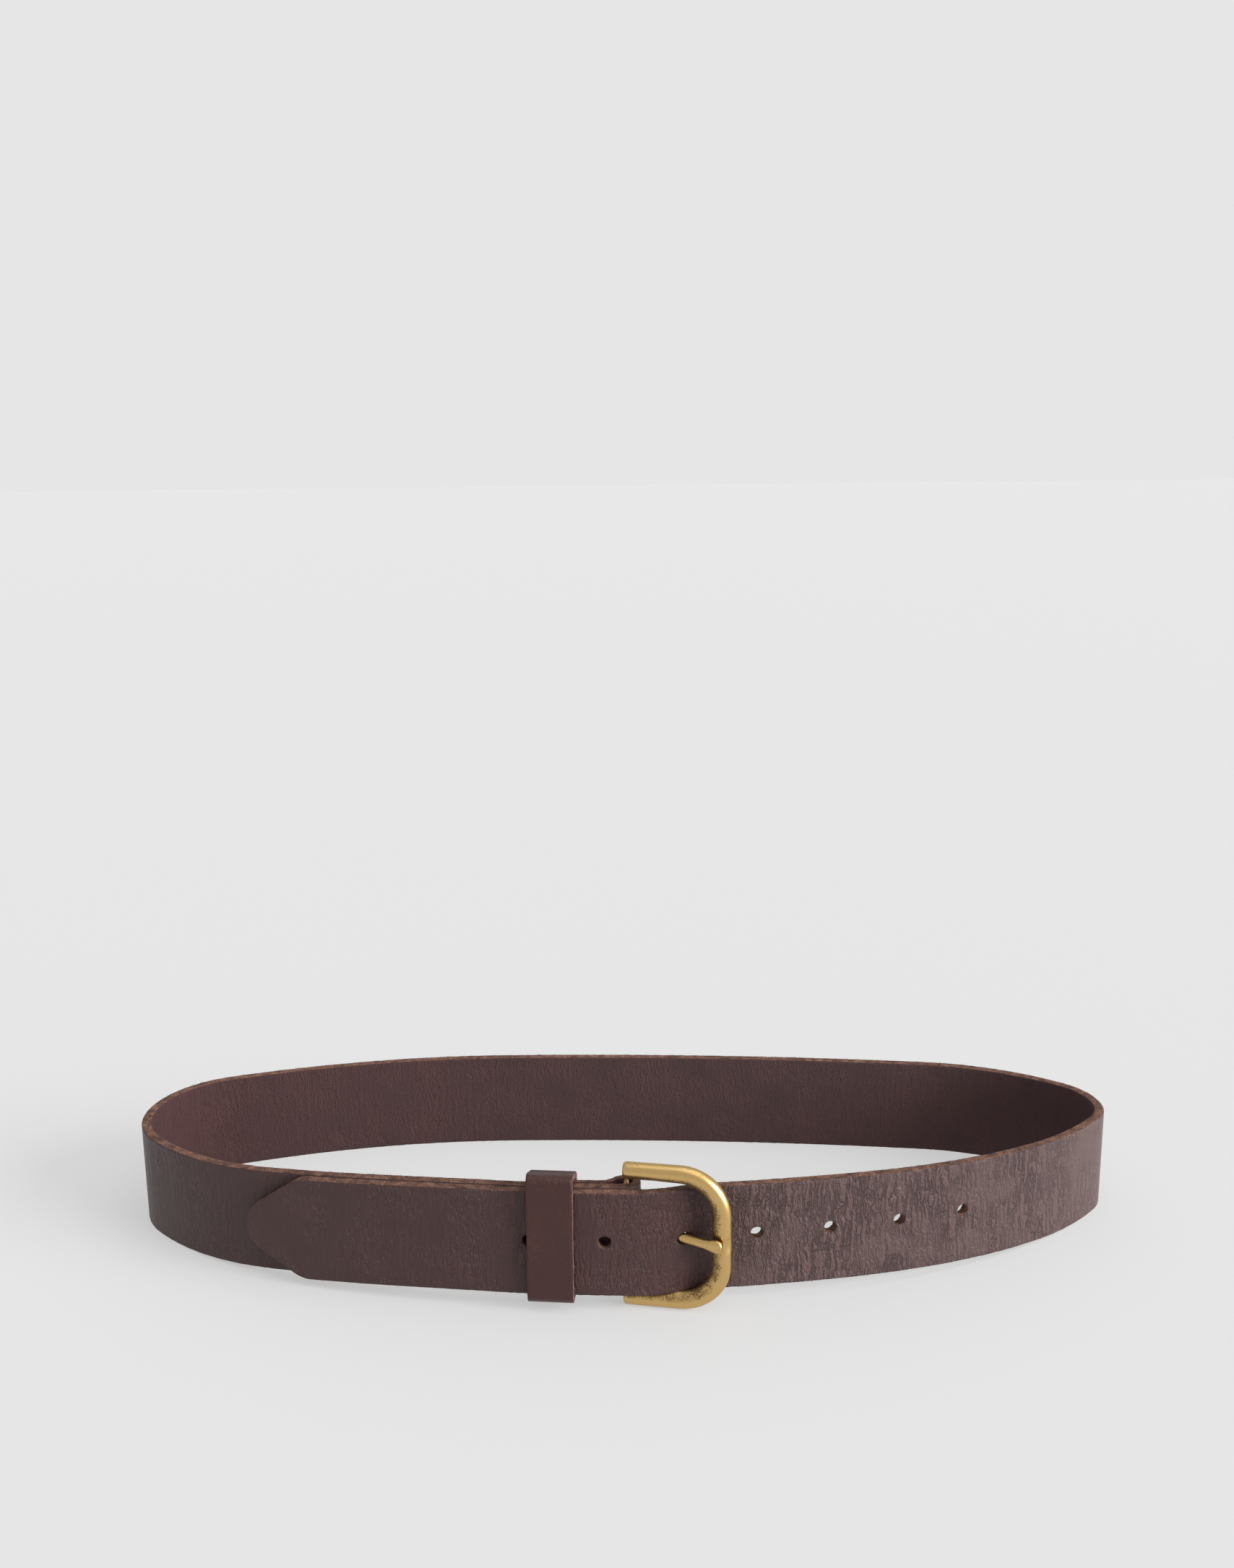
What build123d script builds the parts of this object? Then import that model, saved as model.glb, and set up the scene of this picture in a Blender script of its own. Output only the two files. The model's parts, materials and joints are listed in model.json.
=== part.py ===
"""A leather belt, fastened into a loop and standing on its edge.

One leather strap is folded round the bar of a cast buckle and held by two screw posts. Its free
end passes through the buckle and a leather keeper ring, and the prong holds it by one of seven holes.
Millimetres. +X runs to the right along the front, +Y towards the back and +Z up. The origin is on the
ground in the middle of the loop.
"""

import os
from math import asin, atan2, cos, degrees, radians, sin, sqrt

from build123d import *

os.makedirs("parts", exist_ok=True)

# ---- strap
strap_width = 38.0
strap_thickness = 3.6
layer_gap = 0.45  # between the free end and the strap that it lies on
fold_gap = 0.15  # between the strap and the tail that is screwed to it
front_lift = 6.0  # the buckle holds the front of the strap off the ground
lift_flat_half = 45.0  # half of the stretch that is lifted in full
lift_reach_half = 185.0  # half of the stretch that is lifted at all

# ---- plan of the loop, measured on the outer face of the strap
loop_width = 374.2
loop_depth = 130.4
front_x = 13.9  # where the front comes furthest forward
back_x = -47.4  # where the back goes furthest back
left_y = 11.5  # where each end is widest, from the middle of the depth
right_y = 11.1
# each quarter is three arcs: radius and turn of the tight one at the end, then turn of the middle one
right_front_quarter = (20.1, 42.1, 16.2)
right_back_quarter = (25.9, 51.0, 31.3)
left_back_quarter = (35.2, 43.9, 26.5)
left_front_quarter = (34.1, 44.0, 27.8)

# ---- holes, measured along the front from where it comes furthest forward
hole_radius = 2.15
hole_pitch = 26.0
last_hole_run = 109.1
hole_count = 7
prong_hole = 4  # counted from the right, starting at 0
hole_height = 20.0  # above the lower edge of the strap

# ---- free end
flex_x = -46.0  # the free end bends from here on
flex_gap = 0.05
tip_x = -134.5
tip_slant = 33.5  # degrees between the middle line and each slanted edge
tip_radius = 10.0
shoulder_radius = 12.0

# ---- buckle
bar_x = 0.4
bar_radius = 2.0
bar_fit = 0.1  # leather round the bar
frame_height = 53.0
wire_width = 5.8  # seen from the front
wire_depth = 5.4
frame_corner_radius = 14.6  # of the wire's middle line
arm_start = 1.5  # the arms start this far beyond the bar
arm_stand = -1.0  # their middle line starts this far in front of the strap's outer face
arm_length = 31.4
arm_tilt = 10.2  # degrees that the arms lean outwards
lug_radius = 2.1
lug_inset = 0.5

# ---- prong
prong_fit = 0.08  # round the bar
prong_thickness = 3.2
prong_width = 3.4
prong_eye_radius = 4.3
prong_shaft_forward = 3.3  # from the bar's axis to the middle of the shaft
prong_straight = 8.6
prong_bend_radius = 18.0
prong_bend = 31.0  # degrees
prong_end_run = 14.6
prong_play = 7.0  # degrees that the prong may turn outwards, with the buckle's own turn
prong_play_steps = 6
prong_clearance = 0.3
seat_clearance = 0.1

# ---- fold round the bar; the leather is pared thinner on its way round it
tail_thickness = 2.0
tail_meets_x = -9.0  # the tail lies against the strap from here on
tail_end_x = -29.0
slot_reach = 6.0  # to each side of the bar
slot_clearance = 0.6

# ---- screw posts, one above the other
post_x = -12.2
post_rise = 9.5  # of each above or below the middle of the strap
post_head_radius = 3.6
post_head_thickness = 1.0
post_radius = 2.3
screw_radius = 1.5
screw_slot_width = 0.9
screw_slot_depth = 0.5
post_fit = 0.05
screw_end_gap = 0.3

# ---- keeper ring
keeper_width = 15.8
keeper_x = -25.1
keeper_thickness = 2.3
keeper_side_clearance = 0.45
keeper_bottom_clearance = 0.4
keeper_top_space = 4.2  # the ring stands above the strap
keeper_pinch = 5.4  # depth of the ring at its top, where its two sides come together
keeper_corner = 2.6
keeper_seam = 0.4
staple_wire = 0.7
staple_span = 7.0
staple_rows = (-4.0, 4.0)
staple_fit = 0.05

# ---- worked out from the sizes above
half_strap = strap_thickness / 2
prong_reach = prong_shaft_forward + prong_bend_radius * (1 - cos(radians(prong_bend)))
prong_reach = prong_reach + prong_end_run * sin(radians(prong_bend)) + prong_thickness / 2
bar_depth = strap_thickness + bar_fit + bar_radius  # from the outer face to the bar's axis
arm_forward = bar_depth + arm_stand
front_stand_out = prong_reach - bar_depth
front_y = (front_stand_out - loop_depth) / 2
mid_y = front_y + loop_depth / 2
strap_mid_z = front_lift + strap_width / 2
post_heights = (strap_mid_z - post_rise, strap_mid_z + post_rise)
frame_mid_z = frame_height / 2
tall = 2 * (frame_height + strap_width)


# ---- paths: a station is (x, y, heading in degrees), and one arc joins each station to the next
def quarter_radii(width, depth, quarter):
    """The radii of the three arcs of a quarter of the loop, from its end to its flat side."""
    end_radius, end_turn, mid_turn = quarter
    c1, s1 = cos(radians(end_turn)), sin(radians(end_turn))
    c2, s2 = cos(radians(end_turn + mid_turn)), sin(radians(end_turn + mid_turn))
    a, b = width - end_radius * (1 - c1), depth - end_radius * s1
    whole = (c1 - c2) * (1 - s2) - c2 * (s2 - s1)
    return end_radius, (a * (1 - s2) - b * c2) / whole, (b * (c1 - c2) - a * (s2 - s1)) / whole


def arc_on(station, radius, turn):
    """The station after an arc. A turn to the left is positive."""
    x, y, heading = station
    signed = radius if turn > 0 else -radius
    a, b = radians(heading), radians(heading + turn)
    return x + signed * (sin(b) - sin(a)), y - signed * (cos(b) - cos(a)), heading + turn


def straight_on(station, length):
    x, y, heading = station
    return x + length * cos(radians(heading)), y + length * sin(radians(heading)), heading


def beside(station, offset):
    """The station moved to its right, which on the loop is outwards."""
    x, y, heading = station
    return x + offset * sin(radians(heading)), y - offset * cos(radians(heading)), heading


def turned_back(station):
    return station[0], station[1], station[2] + 180


def joint_of(start, end):
    """The station in the middle of two equal arcs that join start to end."""
    vx, vy = end[0] - start[0], end[1] - start[1]
    ax, ay = cos(radians(start[2])), sin(radians(start[2]))
    bx, by = cos(radians(end[2])), sin(radians(end[2]))
    square, along = vx * vx + vy * vy, vx * (ax + bx) + vy * (ay + by)
    bent = 2 - 2 * (ax * bx + ay * by)
    if bent < 1e-9:
        reach = square / (2 * along)
    else:
        reach = (sqrt(along * along + bent * square) - along) / bent
    mid_x = (start[0] + end[0] + reach * (ax - bx)) / 2
    mid_y_ = (start[1] + end[1] + reach * (ay - by)) / 2
    return mid_x, mid_y_, degrees(atan2(vy - reach * (ay + by), vx - reach * (ax + bx)))


def follow(stations, offset):
    """Draws the arcs through the stations, moved aside by the offset."""
    moved = [beside(station, offset) for station in stations]
    for start, end in zip(moved, moved[1:]):
        if abs((end[2] - start[2] + 180) % 360 - 180) < 1e-6:
            Line(start[:2], end[:2])
        else:
            TangentArc(start[:2], end[:2], tangent=(cos(radians(start[2])), sin(radians(start[2]))))


def band(stations, thickness):
    """A closed band of that thickness along the stations."""
    with BuildLine() as outline:
        follow(stations, thickness / 2)
        follow(stations, -thickness / 2)
        for station in (stations[0], stations[-1]):
            Line(beside(station, thickness / 2)[:2], beside(station, -thickness / 2)[:2])
    make_face(outline.edges())


def plane_at(station, z=0.0):
    """A plane across the strap's face: its normal points outwards, and its x along the heading."""
    x, y, heading = station
    along = (cos(radians(heading)), sin(radians(heading)), 0)
    outward = (sin(radians(heading)), -cos(radians(heading)), 0)
    return Plane(origin=(x, y, z), x_dir=along, z_dir=outward)


# ---- the loop's outer face
right_width, left_width = loop_width / 2 - front_x, loop_width / 2 + front_x
front_depth_right, front_depth_left = loop_depth / 2 + right_y, loop_depth / 2 + left_y
right_front = quarter_radii(right_width, front_depth_right, right_front_quarter)
left_front = quarter_radii(left_width, front_depth_left, left_front_quarter)
right_back = quarter_radii(loop_width / 2 - back_x, loop_depth / 2 - right_y, right_back_quarter)
left_back = quarter_radii(loop_width / 2 + back_x, loop_depth / 2 - left_y, left_back_quarter)


def on_front(x):
    """The station of the outer face at x, on the long arcs of the front."""
    radius = right_front[2] if x > front_x else left_front[2]
    heading = asin((x - front_x) / radius)
    return x, front_y + radius * (1 - cos(heading)), degrees(heading)


def quarter_stations(start, radii, quarter, from_end):
    turns = (quarter[1], quarter[2], 90 - quarter[1] - quarter[2])
    steps = list(zip(radii, turns))
    stations = [start]
    for radius, turn in steps if from_end else steps[::-1]:
        stations.append(arc_on(stations[-1], radius, turn))
    return stations


loop = quarter_stations(on_front(front_x), right_front, right_front_quarter, False)
loop += quarter_stations(loop[-1], right_back, right_back_quarter, True)[1:]
loop += quarter_stations(loop[-1], left_back, left_back_quarter, False)[1:]
loop += quarter_stations(loop[-1], left_front, left_front_quarter, True)[1:]
loop_length = sum(
    radius * radians(turn)
    for radii, (_, end, mid) in zip(
        (right_front, right_back, left_back, left_front),
        (right_front_quarter, right_back_quarter, left_back_quarter, left_front_quarter),
    )
    for radius, turn in zip(radii, (end, mid, 90 - end - mid))
)
print("outer face of the loop", round(loop_length, 1), "mm round")
print("radii", [round(r, 1) for r in right_front + right_back + left_back + left_front])

# ---- the strap's middle line, from the flex line of the free end to the end of the tail
free_offset = layer_gap + half_strap
step_start_x = bar_x + bar_radius
step_end_x = bar_x + arm_length + arm_start
free_start = beside(on_front(step_start_x), free_offset)
single_start = beside(on_front(step_end_x), -half_strap)
bar_station = beside(on_front(bar_x), -half_strap)
middle = [beside(on_front(flex_x), free_offset), free_start, joint_of(free_start, single_start)]
middle += [single_start]
middle += [beside(station, -half_strap) for station in loop[1:-1]]
middle += [bar_station]
bar_axis = beside(on_front(bar_x), -bar_depth)


def fold_side(depth_here, fold_radius, tail_depth):
    """One face of the fold: round the bar from the strap's depth there, then along the tail."""
    begin = beside(on_front(bar_x), -depth_here)
    end = arc_on(begin, fold_radius, 180)
    meet = turned_back(beside(on_front(tail_meets_x), -tail_depth))
    return [begin, end, joint_of(end, meet), meet, turned_back(beside(on_front(tail_end_x), -tail_depth))]


stack_depth = strap_thickness + fold_gap + tail_thickness
fold_depth = strap_thickness + 2 * (bar_radius + bar_fit) + tail_thickness
fold_inside = fold_side(strap_thickness, bar_radius + bar_fit, strap_thickness + fold_gap)
fold_outside = fold_side(0.0, fold_depth / 2, stack_depth)

# ---- the space between the strap's lower and upper edge, over the whole loop
with BuildPart() as strap_space:
    with BuildSketch(Plane.XZ.offset(-mid_y - min(left_y, right_y))):
        with BuildLine():
            for height in (0.0, strap_width):
                for side in (-1, 1):
                    Line((side * loop_width, height), (side * lift_reach_half, height))
                    Spline(
                        (side * lift_reach_half, height),
                        (side * lift_flat_half, height + front_lift),
                        tangents=((-side, 0), (-side, 0)),
                    )
                Line((-lift_flat_half, height + front_lift), (lift_flat_half, height + front_lift))
            for side in (-1, 1):
                Line((side * loop_width, 0), (side * loop_width, strap_width))
        make_face()
    extrude(amount=loop_depth)
    with Locations((0, mid_y + min(left_y, right_y), 0)):
        Box(2 * loop_width, loop_depth, strap_width, align=(Align.CENTER, Align.MIN, Align.MIN))


def run_station(run):
    """The station on the outer face at a distance along the front."""
    radii = right_front if run > 0 else left_front
    turn = degrees(run / radii[2])
    longest = 90 - right_front_quarter[1] - right_front_quarter[2]
    if turn <= longest:
        return arc_on(on_front(front_x), radii[2], turn) if run > 0 else on_front(
            front_x + radii[2] * sin(radians(turn))
        )
    rest = run - radii[2] * radians(longest)
    return arc_on(loop[1], radii[1], degrees(rest / radii[1]))


def lift_at(x):
    """The height of the strap's lower edge on the front."""
    share = (lift_reach_half - abs(x)) / (lift_reach_half - lift_flat_half)
    share = min(max(share, 0.0), 1.0)
    return front_lift * share * share * (3 - 2 * share)


hole_stations = [run_station(last_hole_run - index * hole_pitch) for index in range(hole_count)]
prong_mid_z = front_lift + hole_height


# ---- the prong's outline round the bar's axis, seen from above; it is also the way it needs
def prong_path():
    start = (0.0, -prong_shaft_forward, 0.0)
    bend = straight_on(start, prong_straight)
    rise = arc_on(bend, prong_bend_radius, -prong_bend)
    return [start, bend, rise, straight_on(rise, prong_end_run)]


def bar_plane(turn, z):
    """A level plane with its origin on the bar's axis, turned outwards by some degrees."""
    towards = (cos(radians(-turn)), sin(radians(-turn)), 0)
    return Plane(origin=(bar_axis[0], bar_axis[1], z), x_dir=towards, z_dir=(0, 0, 1))


# ---- strap
with BuildPart() as strap:
    with BuildSketch():
        band(middle, strap_thickness)
        with BuildLine() as fold:
            follow(fold_inside, 0.0)
            follow(fold_outside, 0.0)
            Line(fold_inside[0][:2], fold_outside[0][:2])
            Line(fold_inside[-1][:2], fold_outside[-1][:2])
        make_face(fold.edges())
    extrude(amount=tall)
    add(strap_space.part, mode=Mode.INTERSECT)
    # the slot in the fold that the prong comes out of
    with BuildSketch(bar_plane(-bar_axis[2], prong_mid_z)):
        Rectangle(2 * slot_reach, 2 * (bar_depth + layer_gap / 2))
    extrude(amount=prong_width / 2 + slot_clearance, both=True, mode=Mode.SUBTRACT)
    # the round holes
    for index, station in enumerate(hole_stations):
        if index != prong_hole:
            layer = free_offset if station[0] < bar_x else -half_strap
            height = lift_at(station[0]) + hole_height
            with BuildSketch(plane_at(beside(station, layer), height)):
                Circle(hole_radius)
            extrude(amount=half_strap + layer_gap / 2, both=True, mode=Mode.SUBTRACT)
    # the used hole, drawn out by the prong as far as the prong can turn
    for step in range(prong_play_steps + 1):
        turn = prong_play * step / prong_play_steps
        with BuildSketch(bar_plane(turn, prong_mid_z)):
            band(prong_path(), prong_thickness + 2 * prong_clearance)
        extrude(amount=prong_width / 2 + prong_clearance, both=True, mode=Mode.SUBTRACT)
    # the screw posts' holes through the fold, with their heads sunk flush
    for height in post_heights:
        with BuildSketch(plane_at(on_front(post_x), height)):
            Circle(post_radius + post_fit)
        extrude(amount=-stack_depth, mode=Mode.SUBTRACT)
        with BuildSketch(plane_at(on_front(post_x), height)):
            Circle(post_head_radius + post_fit)
        extrude(amount=-post_head_thickness - post_fit, mode=Mode.SUBTRACT)
        with BuildSketch(plane_at(beside(on_front(post_x), -stack_depth - post_fit), height)):
            Circle(post_head_radius + post_fit)
        extrude(amount=post_head_thickness + 2 * post_fit, mode=Mode.SUBTRACT)
strap.part.label = "strap"
export_step(strap.part, "parts/strap.step")

# ---- free end of the strap, with its pointed tip
tip_mid_z = lift_at(tip_x) + strap_width / 2
apex_x = tip_x - tip_radius * (1 / sin(radians(tip_slant)) - 1)
shoulder_x = apex_x + strap_width / 2 / sin(radians(tip_slant)) * cos(radians(tip_slant))
with BuildPart() as strap_free_end:
    with BuildSketch():
        start = beside(on_front(apex_x), free_offset)
        band([start, beside(on_front(flex_x - flex_gap), free_offset)], strap_thickness)
    extrude(amount=tall)
    add(strap_space.part, mode=Mode.INTERSECT)
    slope = (lift_at(shoulder_x) - lift_at(tip_x)) / (shoulder_x - tip_x)
    with BuildSketch(Plane.XZ):
        with BuildLine():
            Polyline(
                (flex_x + strap_width, tip_mid_z + strap_width / 2 + front_lift),
                (shoulder_x, tip_mid_z + strap_width / 2 + slope * (shoulder_x - tip_x)),
                (apex_x, tip_mid_z),
                (shoulder_x, tip_mid_z - strap_width / 2 + slope * (shoulder_x - tip_x)),
                (flex_x + strap_width, tip_mid_z - strap_width / 2 - front_lift),
                close=True,
            )
        make_face()
        fillet(vertices().sort_by(Axis.X)[0], tip_radius)
        shoulders = vertices().filter_by(lambda v: abs(v.X - shoulder_x) < 0.01)
        fillet(shoulders, shoulder_radius)
    extrude(amount=loop_depth, mode=Mode.INTERSECT)
strap_free_end.part.label = "strap_free_end"
export_step(strap_free_end.part, "parts/strap_free_end.step")

# ---- buckle frame with its bar
arm_plan = (bar_axis[0] + arm_start, bar_axis[1] - arm_forward)
arm_way = (cos(radians(-arm_tilt)), sin(radians(-arm_tilt)), 0)
frame_plane = Plane(
    origin=(arm_plan[0], arm_plan[1], frame_mid_z),
    x_dir=arm_way,
    z_dir=(sin(radians(-arm_tilt)), -cos(radians(-arm_tilt)), 0),
)
arm_half = frame_height / 2 - wire_width / 2
with BuildPart() as buckle_frame:
    with BuildLine(frame_plane) as wire:
        corner = frame_corner_radius
        Line((0, arm_half), (arm_length - corner, arm_half))
        RadiusArc((arm_length - corner, arm_half), (arm_length, arm_half - corner), corner)
        Line((arm_length, arm_half - corner), (arm_length, corner - arm_half))
        RadiusArc((arm_length, corner - arm_half), (arm_length - corner, -arm_half), corner)
        Line((arm_length - corner, -arm_half), (0, -arm_half))
    with BuildSketch(Plane(origin=wire.line @ 0, x_dir=(0, 0, 1), z_dir=wire.line % 0)):
        Ellipse(wire_width / 2, wire_depth / 2)
    sweep()
    with BuildSketch(Plane.XY.offset(wire_width / 2 + lug_inset)):
        with Locations(bar_axis[:2]):
            Circle(bar_radius)
    extrude(amount=frame_height - wire_width - 2 * lug_inset)
    for side in (-1, 1):
        arm_end = Vector(*arm_plan, frame_mid_z + side * arm_half)
        bar_end = Vector(*bar_axis[:2], frame_mid_z + side * (arm_half - lug_inset))
        with BuildSketch(Plane(origin=arm_end, z_dir=bar_end - arm_end)):
            Circle(lug_radius)
        extrude(amount=(bar_end - arm_end).length)
        with Locations(bar_end):
            Sphere(lug_radius)
        with Locations(arm_end):
            Sphere(wire_depth / 2 - 0.05)
    # the notch that the prong rests in
    with BuildSketch(bar_plane(0, prong_mid_z)):
        band(prong_path()[2:], prong_thickness + 2 * seat_clearance)
        with Locations(prong_path()[-1][:2]):
            Circle(prong_thickness / 2 + seat_clearance)
    extrude(amount=prong_width / 2 + seat_clearance, both=True, mode=Mode.SUBTRACT)
buckle_frame.part.label = "buckle_frame"
export_step(buckle_frame.part, "parts/buckle_frame.step")

# ---- prong
with BuildPart() as prong:
    with BuildSketch(bar_plane(0, prong_mid_z)):
        band(prong_path(), prong_thickness)
        Circle(prong_eye_radius)
        end = prong_path()[-1]
        with Locations(end[:2]):
            Circle(prong_thickness / 2)
        Circle(bar_radius + prong_fit, mode=Mode.SUBTRACT)
    extrude(amount=prong_width / 2, both=True)
prong.part.label = "prong"
export_step(prong.part, "parts/prong.step")

# ---- screw posts and their screws
with BuildPart() as screw_posts:
    for height in post_heights:
        with BuildSketch(plane_at(on_front(post_x), height)):
            Circle(post_head_radius)
        extrude(amount=-post_head_thickness)
        with BuildSketch(plane_at(on_front(post_x), height)):
            Circle(post_radius)
        extrude(amount=-(stack_depth - post_head_thickness - post_fit))
        with BuildSketch(plane_at(beside(on_front(post_x), -post_head_thickness), height)):
            Circle(screw_radius + post_fit)
        extrude(amount=-stack_depth, mode=Mode.SUBTRACT)
screw_posts.part.label = "screw_posts"
export_step(screw_posts.part, "parts/screw_posts.step")

with BuildPart() as post_screws:
    for height in post_heights:
        back = beside(on_front(post_x), -stack_depth)
        with BuildSketch(plane_at(back, height)):
            Circle(post_head_radius)
        extrude(amount=post_head_thickness)
        with BuildSketch(plane_at(back, height)):
            Circle(screw_radius)
        extrude(amount=stack_depth - post_head_thickness - screw_end_gap)
        with BuildSketch(plane_at(back, height)):
            Rectangle(2 * post_head_radius, screw_slot_width)
        extrude(amount=screw_slot_depth, mode=Mode.SUBTRACT)
post_screws.part.label = "post_screws"
export_step(post_screws.part, "parts/post_screws.step")

# ---- keeper ring round the strap, its tail and its free end, butted at the back
keeper_station = on_front(keeper_x)
layers_front = layer_gap + strap_thickness + keeper_side_clearance
layers_back = -(stack_depth + keeper_side_clearance)
keeper_low = front_lift - keeper_bottom_clearance
keeper_high = front_lift + strap_width + keeper_top_space
keeper_depth = layers_front - layers_back
keeper_mid = beside(keeper_station, (layers_front + layers_back) / 2)
across = Plane(
    origin=(keeper_mid[0], keeper_mid[1], (keeper_low + keeper_high) / 2),
    x_dir=(sin(radians(keeper_mid[2])), -cos(radians(keeper_mid[2])), 0),
    z_dir=(-cos(radians(keeper_mid[2])), -sin(radians(keeper_mid[2])), 0),
)
keeper_tall = keeper_high - keeper_low
strap_top_side = front_lift + strap_width - (keeper_low + keeper_high) / 2
staple_back = -(keeper_depth / 2 + keeper_thickness)
front_side = keeper_depth / 2 + keeper_thickness
low_side = -keeper_tall / 2 - keeper_thickness
shoulder_side = strap_top_side + keeper_bottom_clearance + 0.7 * keeper_thickness
with BuildPart() as keeper:
    with BuildSketch(across):
        Polygon(
            (front_side, low_side),
            (front_side, -low_side),
            (front_side - keeper_pinch, -low_side),
            (-front_side, shoulder_side),
            (-front_side, low_side),
            align=None,
        )
        fillet(vertices(), keeper_corner)
        offset(amount=-keeper_thickness, kind=Kind.INTERSECTION, mode=Mode.SUBTRACT)
        with Locations((staple_back + keeper_thickness / 2, 0)):
            Rectangle(2 * keeper_thickness, keeper_seam, mode=Mode.SUBTRACT)
    extrude(amount=keeper_width / 2, both=True)
    for row in staple_rows:
        with BuildSketch(across.offset(row)):
            for side in (-1, 1):
                with Locations((staple_back + keeper_thickness / 2, side * staple_span / 2)):
                    Rectangle(keeper_thickness, staple_wire + 2 * staple_fit)
        extrude(amount=staple_wire / 2 + staple_fit, both=True, mode=Mode.SUBTRACT)
keeper.part.label = "keeper"
export_step(keeper.part, "parts/keeper.step")

with BuildPart() as keeper_staples:
    for row in staple_rows:
        with BuildSketch(across.offset(row)):
            with Locations((staple_back - staple_wire / 2 - staple_fit, 0)):
                Rectangle(staple_wire, staple_span + staple_wire)
            for side in (-1, 1):
                with Locations((staple_back - staple_wire / 2, side * staple_span / 2)):
                    Rectangle(keeper_thickness, staple_wire, align=(Align.MIN, Align.CENTER))
        extrude(amount=staple_wire / 2, both=True)
keeper_staples.part.label = "keeper_staples"
export_step(keeper_staples.part, "parts/keeper_staples.step")

# ---- where things are, for the record
print("front of the loop y", round(front_y, 2), "bar axis", [round(v, 3) for v in bar_axis])
print("hinge of the free end", [round(v, 3) for v in beside(on_front(flex_x), layer_gap + strap_thickness)])
print("keeper", [round(v, 3) for v in keeper_station], "z", keeper_low, keeper_high)
for index, station in enumerate(hole_stations):
    print("hole", index, [round(v, 3) for v in station], "z", round(lift_at(station[0]) + hole_height, 3))
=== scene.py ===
# %% [markdown]
# # A leather belt, fastened and standing on its edge
# The belt is one long strip of dark waxed leather with a cast brass buckle. The sizes and the joints
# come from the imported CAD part, which is loaded first and never changed. The looks are built here:
# each soft piece is cut flat, punched, thickened and then bent along the same line as its CAD solid.

# %% Load the frame
import json
import math
import random

import bmesh
import bpy
from mathutils import Matrix, Vector, noise
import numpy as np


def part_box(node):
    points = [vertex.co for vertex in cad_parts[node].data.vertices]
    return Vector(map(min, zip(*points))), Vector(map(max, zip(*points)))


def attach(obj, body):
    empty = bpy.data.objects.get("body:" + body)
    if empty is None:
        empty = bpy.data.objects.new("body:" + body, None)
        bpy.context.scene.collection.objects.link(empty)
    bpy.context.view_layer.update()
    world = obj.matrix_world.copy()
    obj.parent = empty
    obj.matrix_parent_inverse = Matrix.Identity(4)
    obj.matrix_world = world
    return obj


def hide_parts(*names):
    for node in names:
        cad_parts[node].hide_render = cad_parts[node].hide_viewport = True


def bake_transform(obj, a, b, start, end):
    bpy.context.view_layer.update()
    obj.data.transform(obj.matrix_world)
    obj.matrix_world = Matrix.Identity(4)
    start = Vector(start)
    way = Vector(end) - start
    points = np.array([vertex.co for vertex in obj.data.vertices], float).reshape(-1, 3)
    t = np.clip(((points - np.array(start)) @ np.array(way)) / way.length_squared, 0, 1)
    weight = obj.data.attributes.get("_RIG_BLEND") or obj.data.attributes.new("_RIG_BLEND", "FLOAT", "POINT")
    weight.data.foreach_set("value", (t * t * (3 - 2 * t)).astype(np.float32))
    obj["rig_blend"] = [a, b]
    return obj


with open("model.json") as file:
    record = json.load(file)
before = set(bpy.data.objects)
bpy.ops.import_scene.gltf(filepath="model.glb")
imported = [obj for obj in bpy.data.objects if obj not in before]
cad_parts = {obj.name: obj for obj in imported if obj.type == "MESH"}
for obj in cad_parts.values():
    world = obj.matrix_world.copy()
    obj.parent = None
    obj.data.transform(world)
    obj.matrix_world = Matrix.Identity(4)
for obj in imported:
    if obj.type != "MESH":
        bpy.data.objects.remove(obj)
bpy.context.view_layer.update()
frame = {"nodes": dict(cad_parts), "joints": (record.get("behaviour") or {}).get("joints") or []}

joints = {joint["name"]: joint for joint in frame["joints"]}

# %% [markdown]
# ## The line that the strap follows
# A belt bends, but it does not stretch, so its middle layer is a chain of arcs that keeps its length.
# A *station* is a point of that chain with a heading: x, y and degrees. One arc joins each station to
# the next. Working with arcs means that a spot on the flat strap has exactly one place on the loop,
# and that offsets to the two faces are exact.

# %% Arcs and stations
MM = 0.001


def arc_on(station, radius, turn):
    """The station after an arc; a turn to the left is positive."""
    x, y, heading = station
    signed = radius if turn > 0 else -radius
    a, b = math.radians(heading), math.radians(heading + turn)
    return x + signed * (math.sin(b) - math.sin(a)), y - signed * (math.cos(b) - math.cos(a)), heading + turn


def beside(station, offset):
    """The station moved outwards, which is to its right."""
    x, y, heading = station
    h = math.radians(heading)
    return x + offset * math.sin(h), y - offset * math.cos(h), heading


def joint_of(start, end):
    """The station where two equal-reach arcs from start to end meet."""
    p0, p1 = Vector(start[:2]), Vector(end[:2])
    t0 = Vector((math.cos(math.radians(start[2])), math.sin(math.radians(start[2]))))
    t1 = Vector((math.cos(math.radians(end[2])), math.sin(math.radians(end[2]))))
    v, bent = p1 - p0, 2 - 2 * t0.dot(t1)
    along = v.dot(t0 + t1)
    if bent < 1e-9:
        reach = v.dot(v) / (2 * along)
    else:
        reach = (math.sqrt(along * along + bent * v.dot(v)) - along) / bent
    meet, way = (p0 + p1 + reach * (t0 - t1)) / 2, v - reach * (t0 + t1)
    turn = (math.degrees(math.atan2(way.y, way.x)) - start[2] + 180) % 360 - 180
    return meet.x, meet.y, start[2] + turn


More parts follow.
